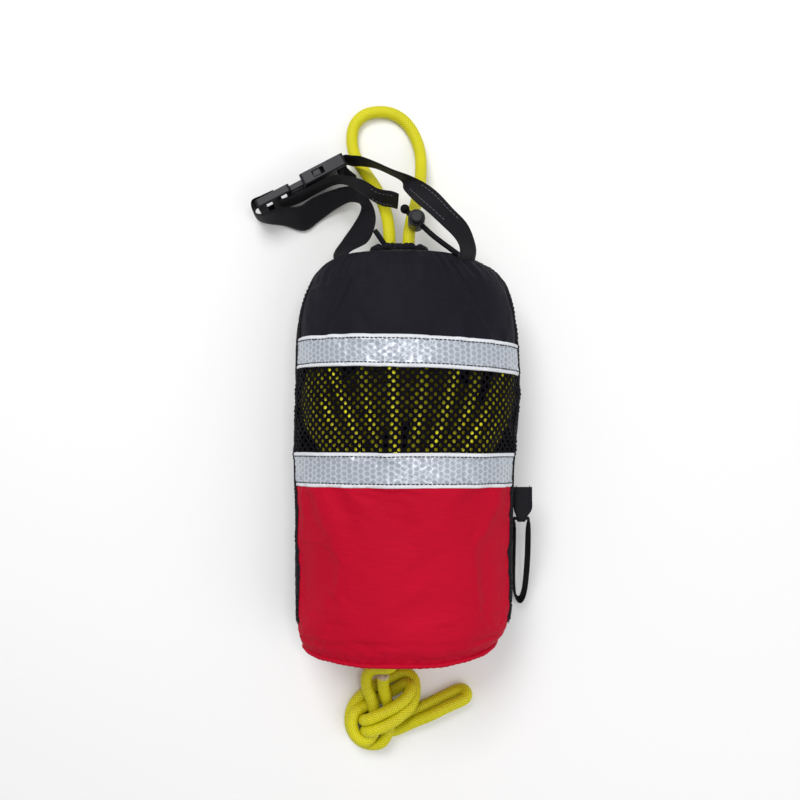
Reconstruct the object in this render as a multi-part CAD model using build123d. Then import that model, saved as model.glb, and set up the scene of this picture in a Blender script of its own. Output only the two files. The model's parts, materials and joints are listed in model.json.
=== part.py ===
"""Throw rope bag: a stuffed fabric bag with its floating line, buckle strap and fittings.

Millimetres.  The bag lies on its flattened back: z = 0 is the ground, +Y points to the mouth,
+X to the side with the carrying loop.  The origin is the middle of the flat back.
"""

import os
from math import asin, cos, pi, sin, tan

from build123d import *

os.makedirs("parts", exist_ok=True)

# driving dimensions
ROPE = 9.5
FABRIC = 1.5
TAPE = 0.9
WEBBING = 1.5
BAND = 25
GAP = 0.2
SEAM_Z = 45
MESH_FOOT, MESH_HEAD = -9.5, 74.8
UPPER_TILT = -0.032
HOLE = (-8, 40)
TOP = 152
HEM = 2.8
MOUTH = (-4.7, TOP + HEM, 57)
BUCKLE = Plane(origin=(-49.2, 230.2, 20), x_dir=(-0.888, -0.4606, 0), z_dir=(0, 0, 1))
LOCK = (8, 173)
LOCK_WAY = (0.719, -0.695)
LOOP_PIN = (-47.5, 42)

# each cross-section of the filled bag: y, centre x, half width, half height, centre z
STATIONS = [
    (-158, -4, 56, 33, 42),
    (-154.5, -4, 65, 41, 43),
    (-149, -4, 73, 47, 44),
    (-136, -2.5, 78.5, 51.5, 45),
    (-112, -0.7, 81, 54, 45),
    (-60, -1.2, 81.5, 55, 45),
    (0, -1, 83, 56, 45),
    (45, 1.5, 84, 57, 45),
    (85, 1.8, 83.5, 56, 45),
    (110, 1.8, 80, 53, 46),
    (127, 2.4, 74.5, 49, 48),
    (138, 0.5, 66.5, 43, 51),
    (147, -1.5, 53, 35, 54),
    (150, -3.2, 40, 26, 56),
    (152, -4.7, 22.4, 15, 57),
]
SECTIONS = [s[0] for s in STATIONS] + [-124, -98, -84, -72, -45, -30, -15, 15, 30, 58, 71, 98, 119]
SECTIONS = sorted(SECTIONS + [133, 142.5, 148.5])


def body_at(y):
    """Centre x, half width, half height and centre z of the filled bag at y, smoothly joined."""
    i = max(1, min(len(STATIONS) - 1, sum(s[0] < y for s in STATIONS)))
    rows = [STATIONS[max(0, min(len(STATIONS) - 1, j))] for j in (i - 2, i - 1, i, i + 1)]
    before, low, high, after = rows
    step = high[0] - low[0]
    t = (y - low[0]) / step
    values = []
    for q, p0, p1, r in zip(before[1:], low[1:], high[1:], after[1:]):
        m0 = (p1 - q) / (high[0] - before[0]) * step
        m1 = (r - p0) / (after[0] - low[0]) * step
        rise = (2 * t**3 - 3 * t**2 + 1) * p0 + (3 * t**2 - 2 * t**3) * p1
        values.append(rise + (t**3 - 2 * t**2 + t) * m0 + (t**3 - t**2) * m1)
    return values


def around(y, slope, grow, z_right, z_left, n=11):
    """Points on the bag's cross-section, over the top from one height to the other."""
    points = []
    for i in range(n):
        x, at = 0, y
        for _ in range(3):
            at = y + slope * x
            cx, a, b, cz = body_at(at)
            reach = b + grow
            t0 = asin(max(-0.97, min(0.97, (z_right - cz) / reach)))
            t1 = pi - asin(max(-0.97, min(0.97, (z_left - cz) / reach)))
            t = t0 + (t1 - t0) * i / (n - 1)
            x = cx + (a + grow) * cos(t)
        points.append((x, y + slope * x, cz + reach * sin(t)))
    return points


def joined(*runs):
    """A closed wire: a curve through each run of points, and a line from run to run."""
    edges = []
    for run, after in zip(runs, runs[1:] + runs[:1]):
        if len(run) > 2:
            edges.append(Spline(*run).edge())
        edges.append(Line(run[-1], after[0]).edge())
    return Wire(edges)


def stops(y0, y1):
    """The shared cross-sections strictly between y0 and y1, with both ends."""
    return [y0] + [y for y in SECTIONS if y0 + 1.5 < y < y1 - 1.5] + [y1]


def sheet(y0, y1, z, outer=0.0, inner=-FABRIC, slope0=0.0, slope1=0.0):
    """Cloth over the top of the bag from y0 to y1, down to height z on both sides."""
    rings = []
    for y in stops(y0, y1):
        slope = slope0 if y == y0 else slope1 if y == y1 else (slope0 + slope1) / 2
        top = around(y, slope, outer, z, z)
        under = around(y, slope, inner, z, z)
        rings.append(joined(top, under[::-1]))
    return Solid.make_loft(rings, ruled=True)


def side_strip(y0, y1, side, z0, z1, outer, inner):
    """A strip along one side of the bag, between two heights."""
    rings = []
    for y in stops(y0, y1):
        faces = []
        for grow in (outer, inner):
            cx, a, b, cz = body_at(y)
            t0, t1 = asin((z0 - cz) / (b + grow)), asin((z1 - cz) / (b + grow))
            turn = [t0 + (t1 - t0) * i / 4 for i in range(5)]
            faces.append([(cx + side * (a + grow) * cos(t), y, cz + (b + grow) * sin(t)) for t in turn])
        rings.append(joined(faces[0], faces[1][::-1]))
    return Solid.make_loft(rings, ruled=True)


def filled(y0, y1, grow, floor):
    """The bag's whole inside from y0 to y1, shrunk by -grow and cut flat at a height."""
    rings = [joined(around(y, 0, grow, floor, floor, 21)) for y in stops(y0, y1)]
    return Solid.make_loft(rings, ruled=True)


def underside(y0, y1, z):
    """The back: from height z on one side, under the bag and up to z on the other."""
    rings = []
    for y in stops(y0, y1):
        cx, a, b, cz = body_at(y)
        runs = []
        for grow, floor in ((0, -0.3), (-FABRIC, FABRIC)):
            low = max(floor, cz - 0.985 * (b + grow))
            t0, t1 = asin((z - cz) / (b + grow)), asin((low - cz) / (b + grow))
            turn = [t0 + (t1 - t0) * i / 8 for i in range(9)]
            for side in (1, -1):
                runs.append([(cx + side * (a + grow) * cos(t), y, cz + (b + grow) * sin(t)) for t in turn])
        right, left, right_in, left_in = runs
        rings.append(joined(right, left[::-1], left_in, right_in[::-1]))
    return Solid.make_loft(rings, ruled=True) - Pos(0, 0, -50) * Box(400, 500, 100)


def cord(points, diameter):
    """A tube along straight runs joined by arcs, each as wide as its shorter run allows."""
    points = [Vector(*p) for p in points]
    radii = []
    for a, b, c in zip(points, points[1:], points[2:]):
        half_turn = (b - a).get_angle(c - b) / 2 * pi / 180
        radii.append(0.45 * min((b - a).length, (c - b).length) / tan(half_turn))
    path = FilletPolyline(*points, radius=radii)
    tube = sweep(Plane(origin=path @ 0, z_dir=path % 0) * Circle(diameter / 2), path=path)
    section = pi * diameter * diameter / 4
    print("cord", diameter, "length", round(path.length, 1), "radii", [round(r) for r in radii])
    print("  volume over section x length", round(tube.volume / (section * path.length), 4))
    return tube


def ribbon(stations, thickness=1.6):
    """A strap through pairs of edge points, ruled from one cross-section to the next."""
    pairs = [(Vector(*a), Vector(*b)) for a, b in stations]
    middles = [(a + b) / 2 for a, b in pairs]
    rings = []
    for i, (a, b) in enumerate(pairs):
        along = middles[min(i + 1, len(pairs) - 1)] - middles[max(i - 1, 0)]
        n = (b - a).cross(along).normalized() * (thickness / 2)
        rings.append([a + n, b + n, b - n, a - n])
    faces = [make_face(Polyline(*ring, close=True)).face() for ring in (rings[0], rings[-1])]
    for ring, after in zip(rings, rings[1:]):
        for j in range(4):
            k = (j + 1) % 4
            here, there = Line(ring[j], ring[k]).edge(), Line(after[j], after[k]).edge()
            faces.append(Face.make_surface_from_curves(here, there))
    return Solid(Shell(faces)).fix()


def rod_at(y0, y1, radius):
    """A rod along Y through the rope hole."""
    x, z = HOLE
    plane = Plane(origin=(x, y0, z), x_dir=(1, 0, 0), z_dir=(0, 1, 0))
    return extrude(plane * Circle(radius), y1 - y0)


def ring_at(y0, y1, inner, outer):
    """A ring round the rope hole, from y0 to y1."""
    return rod_at(y0, y1, outer) - rod_at(y0, y1, inner)


def on_buckle(u, s, z):
    """A point given along the buckle, to its south side and above the ground."""
    p = BUCKLE.from_local_coords(Vector(u, s, 0))
    return (p.X, p.Y, z)


def save(name, shape):
    solids = shape.solids()
    print(name, "solids", len(solids), "mm3", round(sum(s.volume for s in solids)))
    export_step(solids[0] if len(solids) == 1 else shape, f"parts/{name}.step")


# --- the bag's cloth ---
base = filled(-158, -149.5, 0, 0) - filled(-158 + FABRIC, -149.5, -FABRIC, FABRIC)
save("base_panel", base - rod_at(-165, -150, 8.4))
save("lower_panel", sheet(-149.5, MESH_FOOT, SEAM_Z))
save("mesh_panel", sheet(MESH_FOOT, MESH_HEAD, SEAM_Z, slope1=UPPER_TILT))
save("collar_panel", sheet(MESH_HEAD, TOP, SEAM_Z, slope0=UPPER_TILT))
save("back_panel", underside(-149.5, TOP, SEAM_Z))

# --- what is sewn on it ---
band_z0, band_z1 = SEAM_Z - BAND / 2, SEAM_Z + BAND / 2
save("tape_lower", sheet(-22.2, 3.1, band_z1, TAPE, GAP, -0.004, -0.004))
save("tape_upper", sheet(63.2, 86.4, band_z1, TAPE, GAP, UPPER_TILT, UPPER_TILT))
for name, side in (("side_webbing_left", -1), ("side_webbing_right", 1)):
    save(name, side_strip(-126, 146, side, band_z0, band_z1, WEBBING, GAP))
save("base_piping", filled(-151.2, -147.8, 2.4, 0) - filled(-151.2, -147.8, 0.6, -20))


# --- the hem round the mouth, a channel with the drawstring in it ---
def mouth_ring(radius):
    x, y, z = MOUTH
    path = Plane(origin=(x, y, z), x_dir=(1, 0, 0), z_dir=(0, -1, 0)) * Ellipse(19, 11.5).edge()
    return sweep(Plane(origin=path @ 0, z_dir=path % 0) * Circle(radius), path=path)


save("mouth_hem", mouth_ring(HEM) - mouth_ring(2))
save("hem_cord", mouth_ring(1.6))

# --- inside: the foam that floats the bag, and the stuffed line ---
save("foam_float", filled(-155.2, -140.5, -3, 3) - rod_at(-160, -135, 8))
save("stuffed_rope", filled(-138, 88, -4, 4) - rod_at(-140, -105, 7))

# --- the hand loop of line, from inside the bag out of the mouth and back ---
HAND_LOOP = [
    (-11.5, 92, 57),
    (-11.5, 162, 57),
    (-13.5, 184, 49),
    (-21.5, 208, 31),
    (-32, 227, 15),
    (-40.5, 241, 8),
    (-43.5, 256, 5.2),
    (-41.5, 268.5, 4.8),
    (-32.5, 277.5, 4.8),
    (-16.5, 279.5, 4.8),
    (-4, 275, 4.8),
    (6, 264.5, 4.8),
    (12.5, 247, 6.5),
    (13, 229, 12),
    (11.5, 209.5, 25),
    (8, 193.5, 40),
    (4, 177, 53),
    (2, 160, 57),
    (2, 92, 57),
]
save("rope_top_loop", cord(HAND_LOOP, ROPE))

# --- the knotted end below the bag ---
washer_face = -158 + FABRIC
barrel = ring_at(-159.8, washer_face + 1.3, 6.6, 8.3)
save("grommet", barrel + ring_at(-159.8, -158, 6.6, 13.5))
save("grommet_washer", ring_at(washer_face, washer_face + 1, 8.35, 13))

pebble = scale(Sphere(1), by=(30.5, 32.5, 15))
knot = Pos(-18.5, -203.5, 13.5) * pebble - Pos(0, 0, -50) * Box(600, 600, 100)
save("rope_knot", knot)
NECK = [(-8, -112, 40), (-8, -169, 40), (-11, -184, 27), (-14, -196, 12)]
neck = cord(NECK, ROPE)
save("rope_neck", neck - knot)
CUT_END = [(-22, -196, 18), (-19, -184, 27), (-17.5, -170.5, 29)]
save("rope_cut_end", cord(CUT_END, ROPE) - knot - neck)


def tail_loop():
    """The bight pulled through the knot: two runs side by side, one half over the other."""
    root, far = Vector(2, -214, 8.6), Vector(44.5, -192.5, 8.6)
    d = (far - root).normalized()
    s = Vector(-0.313, 0.626, -0.714) * 5.3
    way = Wire([Line(root + s, far + s).edge(),
                ThreePointArc(far + s, far + d * 5.3, far - s).edge(),
                Line(far - s, root - s).edge()])
    return sweep(Plane(origin=way @ 0, z_dir=way % 0) * Circle(ROPE / 2), path=way)


save("rope_tail_loop", tail_loop() - knot)

# --- the buckle, standing on its edge, and the straps that join it to the bag's shoulders ---
HALF = 16.5


def plate(u0, u1, half, thick):
    """A flat piece of the buckle with rounded edges, centred on its axis."""
    block = Box(u1 - u0, 2 * thick, 2 * half)
    block = fillet(block.edges().filter_by(Axis.Y), 2.2)
    return Pos((u0 + u1) / 2, 0, 0) * chamfer(block.edges().group_by(Axis.Y)[-1], 0.8)


def cut(u0, u1, thick, z0, z1):
    return Pos((u0 + u1) / 2, 0, (z0 + z1) / 2) * Box(u1 - u0, 2 * thick, abs(z1 - z0))


def female():
    shell = plate(-2.4, 35, HALF, 4.75)
    shell -= cut(10.5, 36, 2.7, -13.2, 13.2)
    shell -= cut(2.4, 7.6, 6, -13.2, 13.2)
    for side in (-1, 1):
        shell -= cut(15.5, 25.5, 2.7, side * 13, side * 18)
        shell -= Pos(0, side * 4.2, 0) * cut(-3, 2.4, 2, -13.2, 13.2)
    return shell


def male():
    frame = plate(45.5, 75, 15.5, 3)
    for u0, u1 in ((50, 55), (63, 68)):
        frame -= cut(u0, u1, 4, -13.2, 13.2)
    for u in (56, 58, 60, 62):
        frame -= Pos(0, -3, 0) * cut(u - 0.5, u + 0.5, 0.6, -12, 12)
    frame -= cut(40, 49, 4, 7.2, 12.8) + cut(40, 49, 4, -12.8, -7.2)
    guide = cut(14.5, 46, 2, -2.6, 2.6)
    return frame + fillet(guide.edges().group_by(Axis.X)[0], 0.9)


def prong(side):
    """A flexing arm with its latch head in the shell's side window; it bends about its root."""
    outline = [(47, 8.4), (33, 8.4), (26, 9), (15, 8), (15, 11), (19, 16.1), (24.5, 16.1)]
    outline += [(24.5, 12.4), (33, 11.8), (47, 11.8)]
    plane = Plane(origin=(0, 2, 0), x_dir=(1, 0, 0), z_dir=(0, -1, 0))
    arm = extrude(plane * make_face(Polyline(*outline, close=True)), 4)
    arm += Pos(47, 0, 10) * Rot(90, 0, 0) * Cylinder(1.9, 4)
    return arm if side > 0 else mirror(arm, Plane.XY)


save("buckle_female", BUCKLE * female())
save("buckle_male", BUCKLE * male())
save("buckle_prong_upper", BUCKLE * prong(1))
save("buckle_prong_lower", BUCKLE * prong(-1))

shoulder = filled(96, TOP, 0.2, 0)
STRAP_RIGHT = [
    ((49, 139, 63), (37, 139, 86)),
    ((52, 149, 69), (39, 148, 89)),
    ((50.5, 156.5, 77), (35.5, 156, 90)),
    ((44.5, 168, 84), (26, 165, 92)),
    ((33.5, 178.5, 88), (15.5, 175, 91)),
    ((23.5, 189.5, 87), (7, 182.5, 89)),
    ((14, 197, 86), (-1, 195.5, 74)),
    ((3.5, 204, 80), (-2.5, 206.5, 57)),
    ((-10, 212, 70), (-11, 215, 46)),
    ((-22.5, 221, 59), (-23, 223.5, 35)),
    ((-34, 229, 47), (-34.5, 229, 23)),
    ((-42, 232.5, 38.5), (-42, 232, 14)),
    (on_buckle(-4.2, -3, 33), on_buckle(-4.4, -3, 8)),
    (on_buckle(0.4, -3.4, 32.5), on_buckle(0.4, -3.4, 7.5)),
    (on_buckle(3.5, -3.2, 32.5), on_buckle(3.5, -3.2, 7.5)),
    (on_buckle(4.9, -1.2, 32.5), on_buckle(4.9, -1.2, 7.5)),
    (on_buckle(4.9, 1.2, 32.5), on_buckle(4.9, 1.2, 7.5)),
    (on_buckle(3.5, 3.2, 32.5), on_buckle(3.5, 3.2, 7.5)),
    (on_buckle(0.4, 3.5, 32), on_buckle(0.4, 3.5, 7)),
    ((-43.5, 223.5, 31), (-44, 223, 6)),
    ((-38.5, 219.5, 31), (-39, 219, 6)),
]
STRAP_LEFT = [
    ((-48, 139, 58), (-36, 139, 72)),
    ((-54, 150.5, 58), (-42, 149, 72)),
    ((-47.5, 164.5, 50), (-29, 160, 60)),
    ((-41, 176, 43), (-24, 171.5, 51)),
    ((-35.5, 188, 35), (-22.5, 182, 49)),
    ((-34.5, 196.5, 27), (-25, 192, 46)),
    ((-38.5, 201.5, 19), (-31.5, 202.5, 38)),
    ((-46, 203.5, 11), (-43, 211, 30)),
    ((-56.5, 199.5, 6), (-58, 207.5, 25.5)),
    ((-69, 191.5, 2.5), (-72, 202.5, 22)),
    (on_buckle(50.4, 26.8, 3), on_buckle(46.2, 13, 23)),
]
STRAP_TURN = [
    (on_buckle(51, 26.8, 3), on_buckle(46.8, 13, 23)),
    (on_buckle(63, 16, 3.5), on_buckle(58, 8.6, 26)),
    (on_buckle(76, 7.2, 5), on_buckle(75.5, 6.8, 30)),
    (on_buckle(80, 1.5, 7.5), on_buckle(78.8, 1.5, 32.5)),
    (on_buckle(77.4, -5, 7.5), on_buckle(76.6, -5, 32.5)),
    (on_buckle(68, -5, 7.5), on_buckle(68, -5, 32.5)),
    (on_buckle(58, -4.6, 7.5), on_buckle(58, -4.6, 32.5)),
]
STRAP_TAIL = [
    (on_buckle(58, 4.2, 32.5), on_buckle(58, 4.2, 7.5)),
    (on_buckle(44, 6.6, 33), on_buckle(44, 6.6, 8)),
    (on_buckle(26, 7, 36), on_buckle(26, 7, 11)),
    (on_buckle(12, 10.5, 44), on_buckle(12, 10.5, 20)),
    ((-45.5, 210.5, 58.5), (-44.5, 210.2, 35.5)),
    ((-31.5, 204, 70), (-32, 198.5, 50.5)),
    ((-20, 197, 72), (-19, 190.5, 52)),
    ((-10, 194, 76), (-10, 187.5, 56)),
    ((-5, 191.5, 78), (-6, 185.5, 59)),
]
strap_right = ribbon(STRAP_RIGHT) - shoulder
save("strap_right", strap_right)
save("strap_left", ribbon(STRAP_LEFT) - shoulder)
save("strap_turn", ribbon(STRAP_TURN))
save("strap_tail", ribbon(STRAP_TAIL))

# --- the drawstring outside the hem, and its lock ---
DRAW_RIGHT = [(40.2, 145.1, 81.6), (25.5, 157, 77), (17.5, 163.8, 75), (1.4, 179.4, 75)]
draw_right = cord(DRAW_RIGHT, 4) - shoulder
save("drawstring_right", draw_right)
save("drawstring_knot", Pos(-0.4, 181.2, 75) * Sphere(3.4) - draw_right)
DRAW_LEFT = [(-15.5, 158, 62.5), (-18.5, 162.5, 64), (-22.5, 168.5, 62)]
save("drawstring_left", cord(DRAW_LEFT, 4) - mouth_ring(HEM))
eyelet_at = Plane(origin=(39, 146.1, 81.3), z_dir=(0.774, -0.62, 0.14))
save("drawstring_eyelet", extrude(eyelet_at * (Circle(3.7) - Circle(2.2)), 2.5) - shoulder - strap_right)

LX, LY = LOCK
through = Plane(origin=(LX, LY, 75), z_dir=(*LOCK_WAY, 0))
shell = Pos(LX, LY, 65) * extrude(Circle(6.2), 18)
shell = chamfer(shell.edges().group_by(Axis.Z)[-1] + shell.edges().group_by(Axis.Z)[0], 0.8)
shell -= Pos(LX, LY, 66) * extrude(Circle(4.75), 20)
save("lock_barrel", shell - through * extrude(Circle(2.3), 10, both=True))
plunger = Pos(LX, LY, 71.3) * extrude(Circle(4.45), 16.2)
plunger = chamfer(plunger.edges().group_by(Axis.Z)[-1], 1)
slot = through * extrude(SlotOverall(7.6, 4.6, rotation=90), 10, both=True)
save("lock_plunger", plunger - Pos(0, 0, 1.1) * slot)
coil = Helix(pitch=1.6, height=4.1, radius=3.4)
wire = sweep(Plane(origin=coil @ 0, z_dir=coil % 0) * Circle(0.45), path=coil)
save("lock_spring", Pos(LX, LY, 66.6) * wire)


# --- the tab on the right seam and the loop that hangs from it ---
def side_tab():
    y, z = LOOP_PIN
    outline = [(82.95, -23.4), (97.6, -23.4), (97.6, -41), (92.6, -43), (92.6, -46), (85.8, -46)]
    outline += [(85.8, -41), (82.95, -41)]
    flat = Pos(0, 0, z - 1.6) * extrude(make_face(Polyline(*outline, close=True)), 3.2)
    along_x = Plane(origin=(85.8, y, z), x_dir=(0, 1, 0), z_dir=(1, 0, 0))
    return flat + extrude(along_x * Circle(2.9), 6.8) - extrude(along_x * Circle(1.5), 6.8)


def side_loop():
    y, z = LOOP_PIN
    stations = [
        ((83.6, y, z + 1.2), (83.6, y, z - 1.2)),
        ((83.8, -56, 42), (83.8, -56, 33.5)),
        ((84.6, -76, 32), (84.6, -76, 22)),
        ((85.4, -94, 23), (85.4, -94, 13)),
        ((87, -106, 17.5), (87, -106, 7.5)),
        ((89.4, -113.5, 14.5), (89.4, -113.5, 4.5)),
        ((92.6, -116, 13.5), (92.6, -116, 3.5)),
        ((95.2, -111.5, 15), (95.2, -111.5, 5)),
        ((96.4, -102, 19), (96.4, -102, 9)),
        ((96.6, -80, 30), (96.6, -80, 20)),
        ((95.2, -56, 42), (95.2, -56, 33.5)),
        ((94.6, y, z + 1.2), (94.6, y, z - 1.2)),
    ]
    along_x = Plane(origin=(82.9, y, z), x_dir=(0, 1, 0), z_dir=(1, 0, 0))
    return ribbon(stations) + extrude(along_x * Circle(1.42), 12.5)


save("side_tab", side_tab())
save("side_loop", side_loop())
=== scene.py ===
"""Looks of the throw rope bag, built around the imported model.

Metres, in the model's own frame: z = 0 is the ground, +Y the mouth, +X the side with the loop.
"""

import json
import math

import bmesh
import bpy
import numpy as np
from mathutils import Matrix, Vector, noise


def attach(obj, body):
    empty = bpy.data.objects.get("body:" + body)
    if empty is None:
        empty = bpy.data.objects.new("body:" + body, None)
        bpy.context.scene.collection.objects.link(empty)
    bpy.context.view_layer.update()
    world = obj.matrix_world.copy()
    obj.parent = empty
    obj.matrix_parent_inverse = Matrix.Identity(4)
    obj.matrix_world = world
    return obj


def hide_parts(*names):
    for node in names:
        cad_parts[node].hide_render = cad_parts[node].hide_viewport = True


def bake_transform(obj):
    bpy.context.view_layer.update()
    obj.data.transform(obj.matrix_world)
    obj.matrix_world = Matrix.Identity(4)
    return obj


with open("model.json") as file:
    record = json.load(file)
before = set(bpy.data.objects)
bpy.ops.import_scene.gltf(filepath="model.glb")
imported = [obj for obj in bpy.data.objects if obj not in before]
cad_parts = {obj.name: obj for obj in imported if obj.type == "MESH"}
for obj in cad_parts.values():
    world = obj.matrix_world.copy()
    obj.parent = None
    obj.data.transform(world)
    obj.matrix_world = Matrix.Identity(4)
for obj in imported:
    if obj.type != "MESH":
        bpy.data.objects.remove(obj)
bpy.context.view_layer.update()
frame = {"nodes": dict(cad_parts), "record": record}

MM = 0.001
ROPE = 0.0095
CORD = 0.004
SEAM_Z = 0.045
BAND_LOW, BAND_HIGH = 0.0325, 0.0575
MESH_FOOT, MESH_HEAD = -0.0095, 0.0748
UPPER_TILT, LOWER_TILT = -0.032, -0.004
FLOOR_GAP = 0.0003
TOP = 0.152
MOUTH = (-0.0047, 0.1548, 0.057)
ROLL_Y = -0.1495
DRAPE_HEAD = 0.1515
DRAPE_ROWS, DRAPE_AROUND = 124, 160
DRAPE_MOST = 0.0028
CLOTH, FILM, STRAP = 0.0012, 0.0009, 0.0014
LINE_EYE = (-0.008, 0.04)

# each cross-section of the filled bag, in mm: y, centre x, half width, half height, centre z
STATIONS = MM * np.array([
    (-158, -4, 56, 33, 42),
    (-154.5, -4, 65, 41, 43),
    (-149, -4, 73, 47, 44),
    (-136, -2.5, 78.5, 51.5, 45),
    (-112, -0.7, 81, 54, 45),
    (-60, -1.2, 81.5, 55, 45),
    (0, -1, 83, 56, 45),
    (45, 1.5, 84, 57, 45),
    (85, 1.8, 83.5, 56, 45),
    (110, 1.8, 80, 53, 46),
    (127, 2.4, 74.5, 49, 48),
    (138, 0.5, 66.5, 43, 51),
    (147, -1.5, 53, 35, 54),
    (150, -3.2, 40, 26, 56),
    (152, -4.7, 22.4, 15, 57),
])


def linked(name, data):
    """A new object in the scene."""
    obj = bpy.data.objects.new(name, data)
    bpy.context.scene.collection.objects.link(obj)
    return obj


# --- camera and light ---
def stage_and_light():
    """A camera straight above, a pale floor, a white surround and three soft lights."""
    camera = linked("camera", bpy.data.cameras.new("camera"))
    camera.data.lens = 40
    camera.data.sensor_width = 36
    camera.data.shift_y = 0.0625
    camera.location = (-0.004, 0.005, 0.725)
    bpy.context.scene.camera = camera

    me = bpy.data.meshes.new("floor")
    me.from_pydata([(-3, -3, 0), (3, -3, 0), (3, 3, 0), (-3, 3, 0)], [], [(0, 1, 2, 3)])
    floor = linked("floor", me)
    m = bpy.data.materials.new("floor")
    m.use_nodes = True
    shader = m.node_tree.nodes["Principled BSDF"]
    shader.inputs["Base Color"].default_value = (0.9, 0.9, 0.9, 1)
    shader.inputs["Roughness"].default_value = 0.9
    me.materials.append(m)

    world = bpy.data.worlds.new("studio")
    world.use_nodes = True
    world.node_tree.nodes["Background"].inputs["Color"].default_value = (1, 1, 1, 1)
    world.node_tree.nodes["Background"].inputs["Strength"].default_value = 0.46
    bpy.context.scene.world = world
    for name, at, size, power in (
        ("key", (-0.35, 0.75, 1.3), 0.7, 12),
        ("fill", (0.9, -0.6, 1.2), 1.2, 6),
        ("strip", (0.25, 0.1, 1.5), 0.25, 3),
    ):
        light = linked(name, bpy.data.lights.new(name, "AREA"))
        light.data.size = size
        light.data.energy = power
        light.location = at
        light.rotation_euler = (-Vector(at)).to_track_quat("-Z", "Y").to_euler()
    bpy.context.scene.view_settings.view_transform = "Standard"


stage_and_light()


# --- small tools for meshes ---
def put(name, points, faces, uvs=None, body="bag", slot=None, material=None):
    """A mesh piece on a body, with one UV pair for each point; its slot's own material is the default."""
    me = bpy.data.meshes.new(name)
    me.from_pydata([tuple(map(float, p)) for p in points], [], [tuple(map(int, f)) for f in faces])
    if uvs is not None:
        loops = np.zeros(len(me.loops), np.int32)
        me.loops.foreach_get("vertex_index", loops)
        layer = me.uv_layers.new(name="UVMap")
        layer.data.foreach_set("uv", np.asarray(uvs, np.float32)[loops].ravel())
    me.shade_smooth()
    obj = linked(name, me)
    if slot:
        me.materials.append(material or FINISH[slot])
    if body:
        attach(obj, body)
    return obj


def grid_faces(rows, columns, closed=False):
    """Quads over a grid of points numbered row by row; closed joins the last column to the first."""
    faces = []
    for i in range(rows - 1):
        for j in range(columns if closed else columns - 1):
            k = (j + 1) % columns
            faces.append((i * columns + j, i * columns + k, (i + 1) * columns + k, (i + 1) * columns + j))
    return faces


def run_of(line):
    """The distance along a line at each of its points."""
    return np.concatenate([[0], np.cumsum(np.linalg.norm(np.diff(line, axis=0), axis=1))])


def even(line, step):
    """The same line with its points a fixed step apart."""
    line = np.asarray(line, float)
    run = run_of(line)
    count = max(3, int(round(run[-1] / step)) + 1)
    at = np.linspace(0, run[-1], count)
    return np.stack([np.interp(at, run, line[:, k]) for k in range(3)], 1), at


def frames(line):
    """Two unit vectors across a line at each of its points, turning as little as they can."""
    along = np.gradient(line, axis=0)
    along /= np.linalg.norm(along, axis=1)[:, None]
    side = np.cross(along[0], (0, 0, 1) if abs(along[0][2]) < 0.8 else (1, 0, 0))
    sides = []
    for t in along:
        side = side - t * np.dot(side, t)
        side /= np.linalg.norm(side)
        sides.append(side)
    return np.array(sides), np.cross(along, sides)


def circles(turn, side, up):
    """Unit vectors out from a line, round it at each of its points."""
    return np.cos(turn)[None, :, None] * side[:, None] + np.sin(turn)[None, :, None] * up[:, None]


def capped(count, around):
    """The faces of a tube of rings of points, with closed ends."""
    last = (count - 1) * around
    return grid_faces(count, around, True) + [tuple(range(around))[::-1], tuple(range(last, last + around))]


def route(name, points):
    """The smooth line of a cord: a NURBS spline with the route's points as its controls."""
    curve = bpy.data.curves.new(name, "CURVE")
    curve.dimensions = "3D"
    curve.resolution_u = 14
    spline = curve.splines.new("NURBS")
    spline.points.add(len(points) - 1)
    for control, p in zip(spline.points, points):
        control.co = (*p, 1)
    spline.order_u = 3
    spline.use_endpoint_u = True
    holder = linked(name, curve)
    mesh = bpy.data.meshes.new_from_object(holder)
    line = [tuple(v.co) for v in mesh.vertices]
    bpy.data.objects.remove(holder)
    bpy.data.meshes.remove(mesh)
    bpy.data.curves.remove(curve)
    return line


def tube(line, radius, around, name, **kind):
    """A round tube along a line, its radius one number or one for each point, with closed ends."""
    line = np.asarray(line, float)
    side, up = frames(line)
    radius = np.broadcast_to(np.asarray(radius, float), (len(line),))
    turn = np.linspace(0, 2 * math.pi, around, endpoint=False)
    points = line[:, None] + radius[:, None, None] * circles(turn, side, up)
    uvs = np.stack(np.broadcast_arrays((turn * radius.mean())[None, :], run_of(line)[:, None]), -1)
    return put(name, points.reshape(-1, 3), capped(len(line), around), uvs.reshape(-1, 2), **kind)


def braid(name, controls, diameter, strands, cell, relief, step, **kind):
    """A braided line: crossing yarns stand proud of each other, two directions over and under."""
    line, run = even(route(name + "_route", controls), step)
    side, up = frames(line)
    around = strands * 5
    turn = np.linspace(0, 2 * math.pi, around, endpoint=False)
    u = (turn / (2 * math.pi) * strands)[None, :]
    v = (run / cell)[:, None]
    a, b = u - v, u + v
    ia, ib = np.round(a), np.round(b)
    da, db = 2 * (a - ia), 2 * (b - ib)
    first_on_top = (ia + ib) % 2 == 0
    across, on = np.where(first_on_top, da, db), np.where(first_on_top, db, da)
    height = (1 - np.abs(across) ** 2.4) * (1 - 0.6 * on**2)
    radius = diameter / 2 - relief * (1 - height)
    points = line[:, None] + radius[..., None] * circles(turn, side, up)
    uvs = np.stack(np.broadcast_arrays(u / strands, run[:, None]), -1)
    obj = put(name, points.reshape(-1, 3), capped(len(line), around), uvs.reshape(-1, 2), **kind)
    # this height also sets the painted shade between the yarns in the rope material
    shade = obj.data.attributes.new("height", "FLOAT", "POINT")
    shade.data.foreach_set("value", height.astype(np.float32).ravel())
    return obj, line


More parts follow.
